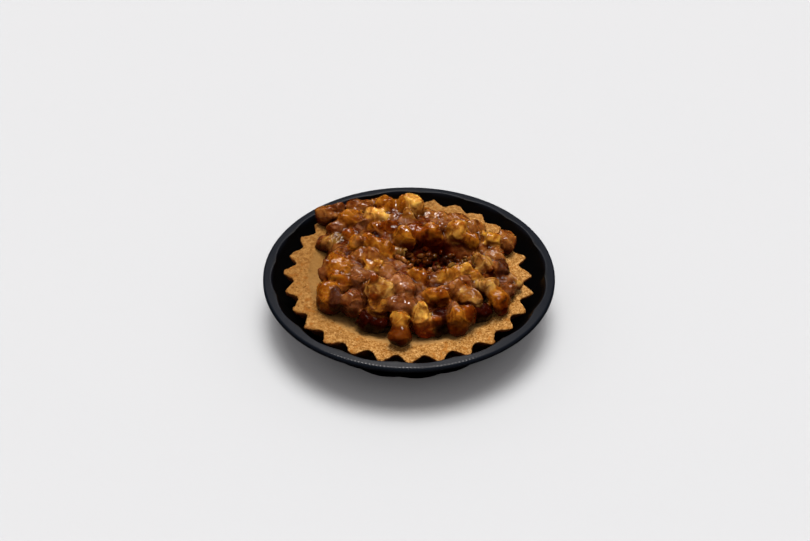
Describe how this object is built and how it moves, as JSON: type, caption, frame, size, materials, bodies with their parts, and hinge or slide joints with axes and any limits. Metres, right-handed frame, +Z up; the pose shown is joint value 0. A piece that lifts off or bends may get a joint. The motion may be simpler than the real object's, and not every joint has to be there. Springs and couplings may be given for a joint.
{
  "type": "caramel walnut tart",
  "caption": "Round fluted shortcrust tart heaped with walnut pieces in glossy caramel, standing in its thin black lobed case.",
  "frame": {"origin": "middle of the flat underside of the case", "axes": "+Z up out of the tart; -Y faces the camera of the picture; +X to its right"},
  "size_m": [0.095, 0.095, 0.0304],
  "materials": {
    "case_plastic": "thin black moulded plastic with a soft sheen",
    "shortcrust": "baked golden-tan pastry, sandy and matt, smoother inside the rim",
    "caramel_walnut": "walnut pieces under a glossy amber and brown caramel coat"
  },
  "bodies": {
    "root": {"tart_case": "case_plastic", "crust": "shortcrust", "walnut_heap": "caramel_walnut"}
  },
  "joints": []
}
